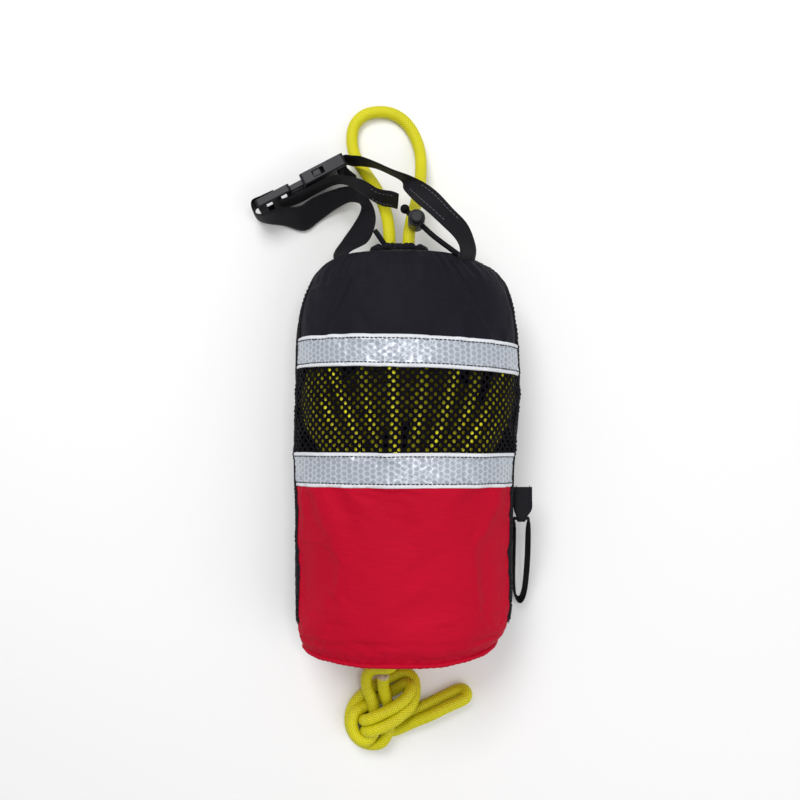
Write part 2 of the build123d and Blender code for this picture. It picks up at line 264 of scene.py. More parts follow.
# --- materials ---
class Nodes:
    """A material under construction: its shader, and short calls for the nodes that feed it."""

    def __init__(self, name, color, roughness, **plain):
        self.material = bpy.data.materials.new(name)
        self.material.use_nodes = True
        self.tree = self.material.node_tree
        self.shader = self.tree.nodes["Principled BSDF"]
        self.shader.inputs["Base Color"].default_value = (*color, 1)
        self.shader.inputs["Roughness"].default_value = roughness
        for socket, value in plain.items():
            self.shader.inputs[socket.replace("_", " ")].default_value = value

    def node(self, kind, inputs=None, **settings):
        made = self.tree.nodes.new("ShaderNode" + kind)
        for key, value in settings.items():
            setattr(made, key, value)
        for key, value in (inputs or {}).items():
            if isinstance(value, bpy.types.NodeSocket):
                self.tree.links.new(value, made.inputs[key])
            else:
                made.inputs[key].default_value = value
        return made

    def math(self, operation, a, b=0.0, c=0.0):
        return self.node("Math", {0: a, 1: b, 2: c}, operation=operation).outputs[0]

    def uv(self, scale=(1, 1, 1)):
        source = self.node("UVMap").outputs[0]
        return self.node("Mapping", {"Vector": source, "Scale": scale}).outputs[0]

    def place(self, scale=(1, 1, 1)):
        source = self.node("TexCoord").outputs["Object"]
        return self.node("Mapping", {"Vector": source, "Scale": scale}).outputs[0]

    def noise(self, vector, scale, detail=3.0, roughness=0.5):
        inputs = {"Vector": vector, "Scale": scale, "Detail": detail, "Roughness": roughness}
        return self.node("TexNoise", inputs).outputs[0]

    def wave(self, vector, scale, direction):
        inputs = {"Vector": vector, "Scale": scale}
        return self.node("TexWave", inputs, bands_direction=direction).outputs[1]

    def ramp(self, value, stops):
        made = self.node("ValToRGB", {0: value})
        elements = made.color_ramp.elements
        while len(elements) < len(stops):
            elements.new(0.5)
        for element, (at, color) in zip(elements, stops):
            element.position = at
            element.color = (*color, 1)
        return made.outputs[0]

    def mix(self, share, a, b):
        made = self.node("Mix", {0: share}, data_type="RGBA")
        for socket, value in ((6, a), (7, b)):
            if isinstance(value, bpy.types.NodeSocket):
                self.tree.links.new(value, made.inputs[socket])
            else:
                made.inputs[socket].default_value = (*value, 1)
        return made.outputs[2]

    def bump(self, height, distance, strength=1.0, before=None):
        inputs = {"Height": height, "Distance": distance, "Strength": strength}
        if before is not None:
            inputs["Normal"] = before
        return self.node("Bump", inputs).outputs[0]

    def feed(self, **sockets):
        for socket, value in sockets.items():
            self.tree.links.new(value, self.shader.inputs[socket.replace("_", " ")])
        return self.material


def woven(name, color, dark, roughness, thread, **plain):
    """Coated nylon: a fine plain weave, with slubs running across the bag."""
    n = Nodes(name, color, roughness, **plain)
    uv = n.uv()
    weft = n.wave(uv, 0.5 / thread, "X")
    warp = n.wave(uv, 0.5 / thread, "Y")
    weave = n.math("MAXIMUM", weft, warp)
    slubs = n.noise(n.uv((60, 900, 1)), 1.0, 4, 0.6)
    cloud = n.noise(n.place((9, 9, 9)), 1.6, 4)
    share = n.math("MULTIPLY_ADD", slubs, 0.55, n.math("MULTIPLY", cloud, 0.45))
    shade = n.ramp(share, [(0.3, dark), (0.68, color)])
    rough = n.math("MULTIPLY_ADD", slubs, 0.14, roughness - 0.07)
    normal = n.bump(weave, 0.00006, 0.7)
    normal = n.bump(slubs, 0.00022, 0.8, normal)
    return n.feed(Base_Color=shade, Roughness=rough, Normal=normal)


def rope_material(name, color, dark_tone_and_gap_shade, roughness, gloss=0.3):
    """Braided line: painted shade between its yarns, where the height attribute is low, with fine fibres."""
    n = Nodes(name, color, roughness, Specular_IOR_Level=gloss)
    height = n.node("Attribute", attribute_name="height").outputs["Fac"]
    fibre = n.noise(n.uv((260, 900, 1)), 1.0, 3, 0.6)
    cloud = n.noise(n.place(), 26, 3)
    share = n.math("MULTIPLY_ADD", height, 0.72, n.math("MULTIPLY", cloud, 0.34))
    share = n.math("MULTIPLY_ADD", fibre, 0.16, share)
    # where the yarns dip (low height) the colour falls to a painted shade; stitches carry no height, so for
    # them this darker colour is mostly their own tone
    shade = n.ramp(share, [(0.22, dark_tone_and_gap_shade), (0.92, color)])
    return n.feed(Base_Color=shade, Normal=n.bump(fibre, 0.00018, 0.7))


def webbing_material(name, color, light, pitch=0.0014, gloss=0.12):
    """Woven strap: ribs across it and a herringbone of threads along it, the rib crests painted lighter as
    highlight among random pale flecks.
    """
    n = Nodes(name, color, 0.62, Specular_IOR_Level=gloss)
    uv = n.uv()
    ribs = n.wave(uv, 0.5 / pitch, "Y")
    lanes = n.wave(uv, 0.5 / (pitch * 1.6), "X")
    weave = n.math("MULTIPLY", ribs, n.math("MULTIPLY_ADD", lanes, 0.7, 0.3))
    fuzz = n.noise(n.place(), 900, 2)
    # the raised weave is painted lighter as a highlight; the fuzz adds random pale flecks
    share = n.math("MULTIPLY_ADD", fuzz, 0.5, n.math("MULTIPLY", weave, 0.6))
    shade = n.ramp(share, [(0.25, color), (0.95, light)])
    return n.feed(Base_Color=shade, Normal=n.bump(weave, 0.00025, 0.8))


def tape_material():
    """Prismatic film: a honeycomb of pale lines round greyer cells, clear and glossy on top."""
    n = Nodes("reflective_tape", (0.45, 0.49, 0.55), 0.3, Metallic=0.1, Coat_Weight=0.3, Coat_Roughness=0.18)
    cell_long, cell_wide = 0.0088, 0.00395
    uv = n.node("SeparateXYZ", {0: n.uv((1 / cell_long, 1 / cell_wide, 1))})
    u, v = uv.outputs[0], uv.outputs[1]

    def from_centre(shift):
        x = n.math("SUBTRACT", n.math("FRACT", n.math("ADD", u, shift)), 0.5)
        y = n.math("SUBTRACT", n.math("FRACT", n.math("ADD", v, shift)), 0.5)
        x = n.math("MULTIPLY", n.math("ABSOLUTE", x), cell_long / cell_wide)
        y = n.math("ABSOLUTE", y)
        slant = n.math("MULTIPLY_ADD", x, 0.8, n.math("MULTIPLY", y, 0.56))
        return n.math("MAXIMUM", slant, y)

    apart = n.math("MINIMUM", from_centre(100.0), from_centre(100.5))
    grain = n.noise(n.uv(), 900, 2)
    wobble = n.math("MULTIPLY_ADD", grain, 0.06, apart)
    cell, edge, line = (0.29, 0.325, 0.38), (0.32, 0.36, 0.42), (0.5, 0.54, 0.61)
    shade = n.ramp(wobble, [(0.36, cell), (0.43, edge), (0.485, line)])
    cloud = n.noise(n.place(), 38, 3)
    shade = n.mix(n.math("MULTIPLY", cloud, 0.35), shade, (0.5, 0.53, 0.58))
    normal = n.bump(n.math("MINIMUM", wobble, 0.48), 0.0003, 0.1)
    dents = n.noise(n.place((1, 0.12, 1)), 30, 1)
    normal = n.bump(dents, 0.002, 0.14, normal)
    return n.feed(Base_Color=shade, Normal=normal)


def plastic_material():
    """Moulded black plastic with a fine grain, rubbed paler in places."""
    n = Nodes("black_plastic", (0.008, 0.008, 0.011), 0.4, Specular_IOR_Level=0.22)
    grain = n.noise(n.place(), 2600, 3)
    wear = n.noise(n.place(), 60, 4)
    rough = n.math("MULTIPLY_ADD", wear, 0.24, 0.24)
    shade = n.ramp(wear, [(0.3, (0.006, 0.006, 0.0085)), (0.75, (0.02, 0.02, 0.026))])
    return n.feed(Base_Color=shade, Roughness=rough, Normal=n.bump(grain, 0.00008, 0.5))


def metal_material(name, low, high, roughness):
    """Bare metal, scratched finely across."""
    n = Nodes(name, high, roughness, Metallic=1.0)
    scratch = n.noise(n.place((1, 1, 6)), 420, 4, 0.7)
    rough = n.math("MULTIPLY_ADD", scratch, 0.3, roughness - 0.12)
    return n.feed(Base_Color=n.ramp(scratch, [(0.3, low), (0.75, high)]), Roughness=rough)


def foam_material():
    """Closed-cell foam, its cell hollows painted darker as shade."""
    n = Nodes("foam", (0.78, 0.78, 0.74), 0.85)
    cells = n.node("TexVoronoi", {"Vector": n.place(), "Scale": 900.0}).outputs[0]
    # the colour darkens toward each cell's centre, where the bump makes a pit: painted shade in the hollows
    shade = n.ramp(cells, [(0.0, (0.7, 0.7, 0.66)), (0.8, (0.84, 0.84, 0.8))])
    return n.feed(Base_Color=shade, Normal=n.bump(cells, 0.0003, 0.6))


FINISH = {
    "red_cloth": woven(
        "red_cloth", (0.52, 0.004, 0.026), (0.42, 0.003, 0.02), 0.6, 0.0007, Specular_IOR_Level=0.05),
    "black_cloth": woven(
        "black_cloth", (0.012, 0.0115, 0.0175), (0.008, 0.0078, 0.0118), 0.55, 0.0007,
        Specular_IOR_Level=0.06),
    # the webbing's second colour is random pale flecks and the painted highlight on its rib crests
    "black_mesh": webbing_material(
        "black_mesh", (0.0025, 0.002, 0.0035), (0.008, 0.007, 0.011), 0.0009, 0.04),
    "webbing": webbing_material("webbing", (0.005, 0.0048, 0.0065), (0.022, 0.021, 0.027)),
    # the rope's and the cord's second colour is the painted shade between their yarns
    "rope": rope_material("rope", (0.8, 0.76, 0.008), (0.34, 0.29, 0.002), 0.5),
    "black_cord": rope_material("black_cord", (0.008, 0.008, 0.01), (0.003, 0.003, 0.004), 0.6, 0.1),
    "reflective_tape": tape_material(),
    "black_plastic": plastic_material(),
    "eyelet_metal": metal_material("eyelet_metal", (0.02, 0.02, 0.022), (0.09, 0.085, 0.08), 0.35),
    "spring_steel": metal_material("spring_steel", (0.35, 0.35, 0.37), (0.62, 0.62, 0.65), 0.3),
    "foam": foam_material(),
}
SELVAGE = woven("selvage", (0.78, 0.8, 0.84), (0.62, 0.64, 0.68), 0.55, 0.0005)
THREAD = rope_material("thread", (0.03, 0.03, 0.036), (0.012, 0.012, 0.016), 0.7, 0.1)
PALE = rope_material("pale_thread", (0.2, 0.2, 0.22), (0.1, 0.1, 0.11), 0.7, 0.1)
for part in frame["record"]["subparts"]:
    shown = frame["nodes"][part["node"]]
    shown.data.materials.clear()
    shown.data.materials.append(FINISH[part["material_slot"]])


# --- cords: the hand loop, the knotted end and the drawstrings ---
# strands, cell length and relief of each braid; the black cord's is followed by its step
ROPE_BRAID, CORD_BRAID = (12, 0.0026, 0.00055), (8, 0.0016, 0.0002, 0.0004)

HAND_LOOP = MM * np.array([
    (-11.5, 133, 57), (-11.5, 162, 57), (-13.5, 184, 49),
    (-21.5, 208, 31), (-32, 227, 15), (-40.5, 241, 8),
    (-43.5, 256, 5.2), (-41.5, 268.5, 4.8), (-32.5, 277.5, 4.8),
    (-16.5, 279.5, 4.8), (-4, 275, 4.8), (6, 264.5, 4.8),
    (12.5, 247, 6.5), (13, 229, 12), (11.5, 209.5, 25),
    (8, 193.5, 40), (4, 177, 53), (2, 160, 57),
    (2, 133, 57),
])
hand_loop, hand_line = braid("hand_loop_line", HAND_LOOP, ROPE, *ROPE_BRAID, 0.00052, slot="rope")
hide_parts("rope_top_loop")

# the knot: an overhand knot tied in the doubled line, from the run that leaves the bag
# round the knot to the far bight, and back beside it to the cut end
KNOT = MM * np.array([
    (-8, -131, 40), (-8, -148, 40), (-8, -158, 39.5),
    (-11.5, -164.5, 34), (-18.8, -166.5, 26.5), (-26.2, -168.5, 20.7),
    (-30.8, -174.5, 17.7), (-30.8, -183, 16.5), (-27.5, -191.5, 15.8),
    (-24.5, -202, 14.2), (-23.2, -212, 14.3), (-25, -222.5, 15.2),
    (-32, -228.5, 14.5), (-39.8, -223.8, 14), (-43, -213.5, 13.7),
    (-40.2, -204.8, 12.5), (-33.5, -202.2, 9), (-25.5, -198.5, 4.9),
    (-15.5, -192.5, 4.8), (-6, -187, 7.5), (1, -181, 13.5),
    (5.5, -183, 18.8), (2, -190, 22.2), (-6, -196.5, 23.8),
    (-14.1, -201, 24), (-23, -205.3, 24), (-30.2, -208.8, 21.8),
    (-33.6, -211.3, 13.5), (-30.5, -212.5, 5.2), (-21, -212.5, 4.8),
    (-10, -213, 4.8), (0, -209.8, 4.8), (11, -204.3, 4.8),
    (23.5, -198.5, 4.8), (34.5, -193, 4.8), (44.8, -188.2, 4.9),
    (48.5, -188.7, 7.2), (49.9, -191.4, 10.3), (48.2, -194.8, 12.5),
    (34.5, -200.5, 12.4), (21, -207.8, 12), (7.3, -213.9, 9),
    (-2, -219.3, 6), (-10.5, -223, 4.8), (-19, -222.3, 4.8),
    (-28.2, -220.5, 5.5), (-32.2, -219.2, 13.8), (-28.7, -218, 21.6),
    (-22, -215.3, 24), (-14.5, -212, 24), (-7, -208, 22.8),
    (-0.5, -203, 20), (6, -197.5, 16.5), (8.5, -188.5, 12.5),
    (7.5, -179.5, 8), (1.5, -174.8, 5.5), (-8, -177, 5),
    (-18, -182, 4.8), (-27.5, -188, 4.8), (-36, -194, 4.8),
    (-42.5, -202, 4.8), (-45, -212, 4.8), (-43.5, -222, 4.8),
    (-37, -230.5, 4.8), (-28, -233.5, 6), (-18.5, -230.5, 12),
    (-13.5, -221.5, 14.3), (-12.5, -213, 14.3), (-12.5, -204, 14.2),
    (-14.5, -193.5, 16), (-17.8, -182.5, 21.5), (-17.2, -172, 27.2),
])
knot, knot_line = braid("knotted_line", KNOT, ROPE, *ROPE_BRAID, 0.00058, body="rope_end", slot="rope")
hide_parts("rope_knot", "rope_neck", "rope_cut_end", "rope_tail_loop")


def melted_end():
    """The sealed end of the line: a lumpy greyish skin over the cut yarns."""
    tip, way = knot_line[-1], knot_line[-1] - knot_line[-4]
    way /= np.linalg.norm(way)
    side = np.cross(way, (0, 0, 1))
    side /= np.linalg.norm(side)
    up = np.cross(side, way)
    points, uvs = [], []
    for i in range(9):
        t = i / 8
        radius = 0.0047 * math.sqrt(1 - (t * 0.93) ** 3)
        for j in range(32):
            a = 2 * math.pi * j / 32
            lump = 1 + 0.07 * noise.noise(Vector((3 * math.cos(a), 3 * math.sin(a), 4 * t)))
            points.append(tip + way * (-0.0012 + 0.0026 * t)
                          + radius * lump * (math.cos(a) * side + math.sin(a) * up))
            uvs.append((a, t))
    faces = grid_faces(9, 32, True) + [tuple(range(8 * 32, 9 * 32)), tuple(range(32))[::-1]]
    n = Nodes("melted_end", (0.5, 0.4, 0.32), 0.45)
    stain = n.noise(n.place(), 420, 4)
    shade = n.ramp(stain, [(0.35, (0.36, 0.27, 0.2)), (0.7, (0.66, 0.55, 0.45))])
    return put("line_melted_end", points, faces, uvs, body="rope_end", slot="rope",
               material=n.feed(Base_Color=shade, Normal=n.bump(stain, 0.0006, 0.8)))


end = melted_end()

DRAW_RIGHT = MM * np.array([
    (40.2, 145.1, 81.6), (25.5, 157, 77), (17.5, 163.8, 75), (1.4, 179.4, 75),
])
draw_right, draw_line = braid("drawstring_right_line", DRAW_RIGHT, CORD, *CORD_BRAID, slot="black_cord")
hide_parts("drawstring_right")
DRAW_LEFT = MM * np.array([(-15.5, 158, 62.5), (-18.5, 162.5, 64), (-22.5, 168.5, 62)])
draw_left = braid("drawstring_left_line", DRAW_LEFT, CORD, *CORD_BRAID, slot="black_cord")[0]
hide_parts("drawstring_left")


# --- the filled bag's skin, which all the cloth pieces share ---
def section(y):
    """Centre x, half width, half height and centre z of the filled bag at each y, smoothly joined."""
    last = len(STATIONS) - 1
    i = np.clip(np.searchsorted(STATIONS[:, 0], y), 1, last)
    before, low, high, after = (STATIONS[np.clip(i + k, 0, last)] for k in (-2, -1, 0, 1))
    step = (high - low)[..., :1]
    t = (np.asarray(y)[..., None] - low[..., :1]) / step
    m0 = (high - before) / (high - before)[..., :1] * step
    m1 = (after - low) / (after - low)[..., :1] * step
    rise = (2 * t**3 - 3 * t**2 + 1) * low + (3 * t**2 - 2 * t**3) * high
    value = rise + (t**3 - 2 * t**2 + t) * m0 + (t**3 - t**2) * m1
    return value[..., 1], value[..., 2], value[..., 3], value[..., 4]


def turn_at(z, y):
    """The turn on the right side where the filled shape is at height z."""
    _, _, b, cz = section(y)
    return np.arcsin(np.clip((z - cz) / b, -0.97, 0.97))


def ease(value, low, high):
    """0 below low, 1 above high, smooth between."""
    t = np.clip((value - low) / (high - low), 0, 1)
    return t * t * (3 - 2 * t)


def folds(turn, y):
    """How far the cloth stands off the filled shape: soft sags, gathers at the mouth, puckers at seams."""
    sag = np.sin(3 * turn + 19 * y) * np.sin(41 * y + 2 * turn) + 0.6 * np.sin(7 * turn - 33 * y + 1.3)
    wobble = turn + 0.09 * np.sin(5 * turn + 1) + 0.05 * np.sin(11 * turn)
    pleat = np.abs(np.cos(15 * wobble)) ** 0.7 - 0.6 + 0.35 * np.cos(37 * turn + 30 * y)
    gather = ease(y, 0.118, 0.15) * (1 - 0.55 * ease(y, 0.148, 0.152))
    pucker = np.exp(-(((y - ROLL_Y) / 0.006) ** 2)) * np.cos(46 * turn + 1.5 * np.sin(6 * turn))
    crease = np.exp(-(((turn - 2.25 + 5 * (y - 0.112)) / 0.05) ** 2) - ((y - 0.113) / 0.016) ** 2)
    crease += 0.7 * np.exp(-(((turn - 0.93 - 6 * (y - 0.12)) / 0.05) ** 2) - ((y - 0.12) / 0.014) ** 2)
    lift = 0.0004 * sag + 0.0021 * gather * pleat + 0.00022 * pucker - 0.0018 * crease
    return lift * (1 - 0.8 * ease(-np.sin(turn), 0.25, 0.75))


def settled():
    """How the cloth moves as it is filled, by simulation: pressed out from inside, held at its seams."""
    rows, around = DRAPE_ROWS, DRAPE_AROUND
    y = np.linspace(ROLL_Y, DRAPE_HEAD, rows)[:, None]
    turn = np.linspace(0, 2 * math.pi, around, endpoint=False)[None, :]
    cx, a, b, cz = section(y)
    lift = folds(turn, y) - CLOTH
    x, z = cx + (a + lift) * np.cos(turn), cz + (b + lift) * np.sin(turn)
    start = np.stack(np.broadcast_arrays(x, y, z), -1)
    obj = put("settling", start.reshape(-1, 3), grid_faces(rows, around, True), body=None)
    held = obj.vertex_groups.new(name="held")
    for i in range(rows):
        near = min(abs(float(y[i, 0]) - seam) for seam in (ROLL_Y, DRAPE_HEAD, MESH_FOOT, MESH_HEAD))
        sewn = math.exp(-((near / 0.006) ** 2))
        for j in range(around):
            flat = ease(-math.sin(float(turn[0, j])), 0.35, 0.8)
            side = 0.5 * math.exp(-((start[i, j, 2] - SEAM_Z) / 0.009) ** 2)
            held.add([i * around + j], float(min(1, sewn + side + flat)), "ADD")
    cloth = obj.modifiers.new("cloth", "CLOTH")
    cloth.settings.quality = 6
    cloth.settings.mass = 0.2
    cloth.settings.tension_stiffness = 22
    cloth.settings.compression_stiffness = 22
    cloth.settings.shear_stiffness = 8
    cloth.settings.bending_stiffness = 0.25
    cloth.settings.use_pressure = True
    cloth.settings.uniform_pressure_force = 1.6
    cloth.settings.shrink_min = -0.018
    cloth.settings.shrink_max = -0.018
    cloth.settings.vertex_group_mass = "held"
    cloth.settings.effector_weights.gravity = 0
    cloth.collision_settings.use_collision = False
    for step in range(1, 19):
        bpy.context.scene.frame_set(step)
    ready = obj.evaluated_get(bpy.context.evaluated_depsgraph_get()).to_mesh()
    end = np.empty(rows * around * 3, np.float32)
    ready.vertices.foreach_get("co", end)
    bpy.data.objects.remove(obj)
    bpy.context.scene.frame_set(1)
    move = end.reshape(rows, around, 3) - start
    size = np.linalg.norm(move, axis=-1, keepdims=True)
    print("cloth moved, mm: mean", round(size.mean() / MM, 2), "most", round(size.max() / MM, 2))
    calm = 1 - 0.5 * ease(y, 0.08, 0.095)[..., None]
    return calm * move * DRAPE_MOST * np.tanh(size / DRAPE_MOST) / np.maximum(size, 1e-9)


DRAPE = settled()


def drape(turn, y):
    """The simulated move of the cloth at each turn and y, read between the nearest grid points."""
    rows, around = DRAPE_ROWS, DRAPE_AROUND
    i = np.clip((np.asarray(y) - ROLL_Y) / (DRAPE_HEAD - ROLL_Y) * (rows - 1), 0, rows - 1.001)
    i, j = np.broadcast_arrays(i, np.asarray(turn) / (2 * math.pi) * around)
    i0, j0 = np.floor(i).astype(int), np.floor(j).astype(int)
    s, t = (i - i0)[..., None], (j - j0)[..., None]
    low = DRAPE[i0, j0 % around] * (1 - t) + DRAPE[i0, (j0 + 1) % around] * t
    high = DRAPE[i0 + 1, j0 % around] * (1 - t) + DRAPE[i0 + 1, (j0 + 1) % around] * t
    return low * (1 - s) + high * s


def corner(turn, y):
    """How far the cloth near the foot is drawn up towards the mouth at the sides, rounding its corners."""
    rise = np.where(np.cos(turn) > 0, 0.009, 0.0055)
    return rise * np.abs(np.cos(turn)) ** 3.6 * ease(-np.asarray(y), 0.118, 0.15)


def skin(turn, y, lift=0.0):
    """Points on the cloth: turn 0 is the right side, a quarter turn the top; lift is outwards."""
    cx, a, b, cz = section(y)
    out = lift + folds(turn, y)
    x, z = cx + (a + out) * np.cos(turn), cz + (b + out) * np.sin(turn)
    points = np.stack(np.broadcast_arrays(x, y + corner(turn, y), z), -1) + drape(turn, y)
    points[..., 2] = np.maximum(points[..., 2], FLOOR_GAP + np.maximum(0, -np.asarray(lift)))
    return points


def over_top(y0, y1, z, columns, rows, tilt0=0.0, tilt1=0.0):
    """Turns and ys of a sheet over the top of the bag, between two seams and down to height z."""
    share, across = np.linspace(0, 1, rows)[:, None], np.linspace(0, 1, columns)[None, :]
    y = y0 + (y1 - y0) * share + 0 * across
    for _ in range(3):
        cx, a, _, _ = section(y)
        turn0 = turn_at(z, y)
        turn = turn0 + (math.pi - 2 * turn0) * across
        y = y0 + (y1 - y0) * share + (tilt0 + (tilt1 - tilt0) * share) * (cx + a * np.cos(turn))
    return turn, y


def slab(name, top, under, uvs, closed=False, **kind):
    """A closed sheet from the grids of points of its two faces, joined round the rim."""
    rows, columns = top.shape[:2]
    count = rows * columns
    faces = [f[::-1] for f in grid_faces(rows, columns, closed)]
    faces += [tuple(k + count for k in f) for f in grid_faces(rows, columns, closed)]
    first, last = list(range(columns)), list(range(count - columns, count))
    if closed:
        rims = [first + first[:1], last[::-1] + last[-1:]]
    else:
        right = list(range(columns - 1, count, columns))
        left = list(range(0, count, columns))
        rims = [first + right[1:] + last[::-1][1:] + left[::-1][1:]]
    for rim in rims:
        faces += [(p, q, q + count, p + count) for p, q in zip(rim, rim[1:])]
    points = np.concatenate([top.reshape(-1, 3), under.reshape(-1, 3)])
    both = np.concatenate([uvs.reshape(-1, 2)] * 2)
    obj = put(name, points, faces, both, **kind)
    tidy = bmesh.new()
    tidy.from_mesh(obj.data)
    bmesh.ops.recalc_face_normals(tidy, faces=tidy.faces)
    tidy.to_mesh(obj.data)
    tidy.free()
    return obj


def flat_size(points):
    """Lengths in metres across and along a grid of points, for its UVs and its cut size."""
    across = np.linalg.norm(np.diff(points, axis=1), axis=-1)
    along = np.linalg.norm(np.diff(points, axis=0), axis=-1)
    u = np.concatenate([np.zeros((len(points), 1)), np.cumsum(across, axis=1)], 1)
    v = np.concatenate([np.zeros((1, points.shape[1])), np.cumsum(along, axis=0)], 0)
    return np.stack([u - u.mean(axis=1, keepdims=True), v], -1)


def sewn_panel(name, turn, y, node, **kind):
    """A cloth panel on the bag's skin, its UVs laid out at the size that its cloth was cut to."""
    top, under = skin(turn, y, np.zeros(turn.shape)), skin(turn, y, np.full(turn.shape, -CLOTH))
    size = flat_size(top)
    obj = slab(name, top, under, size, **kind)
    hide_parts(node)


def stitches(name, lines, pitch, length, radius, **kind):
    """Thread dashes along (points, normals) lines: each one rises from the cloth and dives back in."""
    points, faces = [], []
    for line, normals in lines:
        at, run = even(line, pitch)
        out = np.stack([np.interp(run, run_of(line), normals[:, k]) for k in range(3)], 1)
        way = np.gradient(at, axis=0)
        way /= np.linalg.norm(way, axis=1)[:, None]
        side = np.cross(way, out)
        side /= np.linalg.norm(side, axis=1)[:, None]
        for p, t, s, n in zip(at, way, side, out):
            base = len(points)
            for k in range(5):
                share = k / 2 - 1
                rise = radius * (1.1 - 2.2 * share * share)
                wide = radius * (1 - 0.35 * share * share)
                for j in range(6):
                    a = math.pi * j / 3
                    points.append(p + t * share * length / 2 + n * (rise + wide * math.sin(a))
                                  + s * wide * math.cos(a))
            faces += [tuple(base + v for v in f) for f in capped(5, 6)]
    return put(name, points, faces, np.zeros((len(points), 2)), slot="webbing", **kind)


def seam(turn, y, lift):
    """A line of stitching on the skin, with the way out of the cloth at each point."""
    turn, y = np.broadcast_arrays(np.asarray(turn, float), np.asarray(y, float))
    line = skin(turn, y, lift)
    out = skin(turn, y, lift + 0.001) - line
    return line, out / np.maximum(np.linalg.norm(out, axis=1)[:, None], 1e-9)


# --- the cloth panels ---
def panels():
    """The three cloth panels: red lower front, black collar, and the black back that it lies on."""
    sewn_panel("lower_cloth", *over_top(ROLL_Y, MESH_FOOT, SEAM_Z, 168, 120), "lower_panel",
               slot="red_cloth")
    sewn_panel("collar_cloth", *over_top(MESH_HEAD, TOP, SEAM_Z, 300, 96, UPPER_TILT, 0.0), "collar_panel",
               slot="black_cloth")
    rows, columns = 150, 150
    y = np.linspace(ROLL_Y, TOP, rows)[:, None] + np.zeros((1, columns))
    turn0 = turn_at(SEAM_Z, y)
    turn = -math.pi - turn0 + (math.pi + 2 * turn0) * np.linspace(0, 1, columns)[None, :]
    sewn_panel("back_cloth", turn, y, "back_panel", slot="black_cloth")


def mesh_window():
    """The mesh: staggered round holes punched between rhombic cells, wrapped over the bag."""
    pitch, row, hole = 0.0066, 0.003, 0.00136
    y0, y1 = -0.0065, 0.0715
    mid = (y0 + y1) / 2
    fine = np.linspace(0.05, math.pi - 0.05, 900)
    run = run_of(skin(fine, mid))
    half = run[-1] / 2
    cells, keys, points = [], {}, []

    def number(s, y):
        key = (round(s * 1e6), round(y * 1e6))
        if key not in keys:
            keys[key] = len(points)
            points.append((s, y))
        return keys[key]

    rim = [(1, 0), (2 / 3, 1 / 3), (1 / 3, 2 / 3), (0, 1), (-1 / 3, 2 / 3), (-2 / 3, 1 / 3)]
    rim += [(-p, -q) for p, q in rim]
    for j in range(int((y1 - y0) / row)):
        for i in range(-int(half / pitch), int(half / pitch) + 1):
            s, y = (i + 0.5 * (j % 2)) * pitch, y0 + (j + 1) * row
            if abs(s) > half - pitch:
                continue
            rings = [[number(s + p * pitch / 2, y + q * row) for p, q in rim]]
            for size in (1.2, 1.0):
                ring = []
                for p, q in rim:
                    a = math.atan2(q * row, p * pitch / 2)
                    ring.append(number(s + size * hole * math.cos(a), y + size * hole * math.sin(a)))
                rings.append(ring)
            for outer, inner in zip(rings, rings[1:]):
                for k in range(12):
                    cells.append((outer[k], outer[(k + 1) % 12], inner[(k + 1) % 12], inner[k]))
    flat = np.array(points)
    turn = np.interp(flat[:, 0] + half, run, fine)
    top = skin(math.pi - turn, flat[:, 1], -0.0002)
    window = put("mesh_window", top, cells, flat, slot="black_mesh")
    thick = window.modifiers.new("thickness", "SOLIDIFY")
    thick.thickness = 0.00045
    thick.offset = 0
    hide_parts("mesh_panel")


# --- reflective tapes, side bands, piping and hem ---
# each crease across the tapes: the turn it is at, its slant and its depth
CREASES = ((1.03, 0.5, 0.0007), (2.09, -0.3, 0.0008), (0.62, 3.0, 0.0006), (2.5, 1.2, 0.0004))


def tape(name, y0, y1, tilt, node):
    """Prismatic film between two woven selvages, with a row of stitching inside each edge."""
    inset, lap = 0.003, 0.0006
    turn, y = over_top(y0 + inset - lap, y1 - inset + lap, BAND_HIGH, 260, 34, tilt, tilt)
    crease = np.zeros(turn.shape)
    for at, slant, depth in CREASES:
        crease -= depth * np.exp(-(((turn - at - slant * (y - (y0 + y1) / 2)) / 0.022) ** 2))
    top = skin(turn, y, FILM + np.maximum(crease, -0.0006))
    under = skin(turn, y, np.full(turn.shape, 0.0001))
    film = slab(name + "_film", top, under, flat_size(top), slot="reflective_tape")
    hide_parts(node)
    for end, low, high in (("foot", y0, y0 + inset), ("head", y1 - inset, y1)):
        turn, y = over_top(low, high, BAND_HIGH, 240, 7, tilt, tilt)
        lift = FILM + 0.00025 * np.sin(np.linspace(0, math.pi, 7))[:, None] + 0 * turn
        lift[[0, -1], :] = 0.0004
        top = skin(turn, y, lift)
        strip = slab(f"{name}_selvage_{end}", top, skin(turn, y, np.zeros(turn.shape)), flat_size(top),
                     slot="reflective_tape", material=SELVAGE)
        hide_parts(node)
    lines = []
    for at in (y0 + inset, y1 - inset):
        turn, y = over_top(at, at + 0.0001, BAND_HIGH, 200, 2, tilt, tilt)
        lines.append(seam(turn[0], y[0], 0.001))
    stitches(name + "_stitches", lines, 0.0031, 0.0026, 0.00036, material=THREAD)


